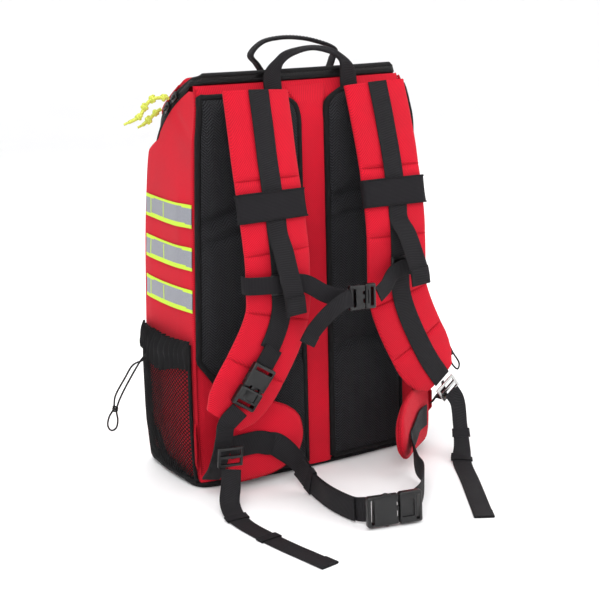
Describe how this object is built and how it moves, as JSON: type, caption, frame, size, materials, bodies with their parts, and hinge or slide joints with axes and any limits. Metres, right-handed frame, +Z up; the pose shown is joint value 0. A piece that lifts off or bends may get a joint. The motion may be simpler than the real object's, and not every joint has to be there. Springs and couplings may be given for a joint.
{
  "type": "trauma backpack",
  "caption": "Red clamshell medical backpack with a padded harness, air-mesh back, side mesh pockets, reflective bands, carrying handles, chest strap and hip belt.",
  "frame": {"origin": "middle of the base, where the pack stands", "axes": "+Z up, -Y the side worn against the back, +Y the opening front cover, +X to the right of somebody facing the harness"},
  "size_m": [0.4748, 0.4604, 0.5664],
  "materials": {
    "red_fabric": "coated woven polyester over foam, matt",
    "webbing": "ribbed woven webbing, slightly shiny",
    "elastic": "woven elastic, matt",
    "air_mesh": "spacer mesh with a chevron knit",
    "net_mesh": "open diamond net",
    "zip_tape": "woven tape with plastic coil",
    "enamelled_metal": "black enamel, satin",
    "black_plastic": "moulded, fine-textured",
    "plated_metal": "satin zinc plate",
    "reflective_tape": "grey retroreflective tape with lime edges",
    "lime_cord": "braided cord",
    "elastic_cord": "thin round elastic",
    "stiffener": "polyethylene sheet",
    "lining": "coated nylon"
  },
  "bodies": {
    "pack": {"back_panel": "red_fabric", "base_panel": "red_fabric", "body_zip_tape": "zip_tape", "frame_sheet": "stiffener", "hip_buckle_female": "black_plastic", "left_air_mesh_pad": "air_mesh", "left_bottom_reflective_band": "reflective_tape", "left_corner_anchor": "red_fabric", "left_drawcord": "elastic_cord", "left_elastic_band": "elastic", "left_hip_webbing": "webbing", "left_hip_wing": "red_fabric", "left_ladder_slide": "black_plastic", "left_lower_strap_webbing": "webbing", "left_lower_webbing": "webbing", "left_mesh_pocket": "net_mesh", "left_middle_reflective_band": "reflective_tape", "left_shoulder_pad": "red_fabric", "left_side_panel": "red_fabric", "left_strap_tail": "webbing", "left_top_reflective_band": "reflective_tape", "left_upper_strap_webbing": "webbing", "lower_divider": "lining", "right_air_mesh_pad": "air_mesh", "right_bottom_reflective_band": "reflective_tape", "right_corner_anchor": "red_fabric", "right_drawcord": "elastic_cord", "right_elastic_band": "elastic", "right_hip_webbing": "webbing", "right_hip_wing": "red_fabric", "right_lower_strap_webbing": "webbing", "right_lower_webbing": "webbing", "right_mesh_pocket": "net_mesh", "right_metal_slide": "plated_metal", "right_middle_reflective_band": "reflective_tape", "right_shoulder_pad": "red_fabric", "right_side_panel": "red_fabric", "right_strap_tail": "webbing", "right_top_reflective_band": "reflective_tape", "right_upper_strap_webbing": "webbing", "shoulder_buckle_female": "black_plastic", "spine_strip": "red_fabric", "upper_divider": "lining"},
    "front_cover": {"front_cover_panel": "red_fabric", "top_slope_panel": "red_fabric", "cover_zip_tape": "zip_tape"},
    "front_handle": {"front_handle": "webbing"},
    "rear_handle": {"rear_handle": "webbing"},
    "upper_zip_slider": {"upper_zip_slider": "enamelled_metal"},
    "upper_zip_pull": {"upper_zip_pull": "lime_cord"},
    "lower_zip_slider": {"lower_zip_slider": "enamelled_metal"},
    "lower_zip_pull": {"lower_zip_pull": "lime_cord"},
    "sternum_strap": {"left_sternum_slider": "black_plastic", "right_sternum_slider": "black_plastic", "left_sternum_webbing": "webbing", "right_sternum_webbing": "webbing", "sternum_buckle_female": "black_plastic"},
    "sternum_buckle_male": {"sternum_buckle_male": "black_plastic"},
    "shoulder_buckle_male": {"shoulder_buckle_male": "black_plastic"},
    "hip_buckle_male": {"hip_buckle_male": "black_plastic"}
  },
  "joints": [
    {"name": "cover_fold", "type": "hinge", "parent": "pack", "child": "front_cover", "pos_m": [0, 0.062, 0.006], "axis": [-1, 0, 0], "range_deg": [0, 75]},
    {"name": "front_handle_fold", "type": "hinge", "parent": "front_cover", "child": "front_handle", "pos_m": [0, -0.045, 0.5205], "axis": [-1, 0, 0], "range_deg": [0, 40]},
    {"name": "rear_handle_fold", "type": "hinge", "parent": "pack", "child": "rear_handle", "pos_m": [0.0045, -0.085, 0.502], "axis": [1, 0, 0], "range_deg": [0, 40]},
    {"name": "upper_slider_run", "type": "slide", "parent": "pack", "child": "upper_zip_slider", "axis": [-0.0896, 0.8374, -0.5391], "range_m": [-0.014, 0]},
    {"name": "upper_pull_swing", "type": "hinge", "parent": "upper_zip_slider", "child": "upper_zip_pull", "pos_m": [-0.1615, -0.0227, 0.4948], "axis": [0, 1, 0], "range_deg": [0, 25]},
    {"name": "lower_slider_run", "type": "slide", "parent": "pack", "child": "lower_zip_slider", "axis": [-0.1123, 0.7293, -0.6749], "range_m": [0, 0.016]},
    {"name": "lower_pull_swing", "type": "hinge", "parent": "lower_zip_slider", "child": "lower_zip_pull", "pos_m": [-0.1639, -0.0042, 0.4805], "axis": [0, 1, 0], "range_deg": [0, 35]},
    {"name": "sternum_height", "type": "slide", "parent": "pack", "child": "sternum_strap", "axis": [0, 0, 1], "range_m": [-0.02, 0.004]},
    {"name": "sternum_release", "type": "slide", "parent": "sternum_strap", "child": "sternum_buckle_male", "axis": [0.9998, 0, -0.0206], "range_m": [0, 0.018], "deforming": ["right_sternum_webbing"]},
    {"name": "shoulder_release", "type": "slide", "parent": "pack", "child": "shoulder_buckle_male", "axis": [-0.5469, 0.1138, -0.8294], "range_m": [0, 0.024], "deforming": ["left_lower_webbing"]},
    {"name": "hip_release", "type": "slide", "parent": "pack", "child": "hip_buckle_male", "axis": [0.9798, -0.2, 0], "range_m": [0, 0.03], "deforming": ["right_hip_webbing"]}
  ]
}
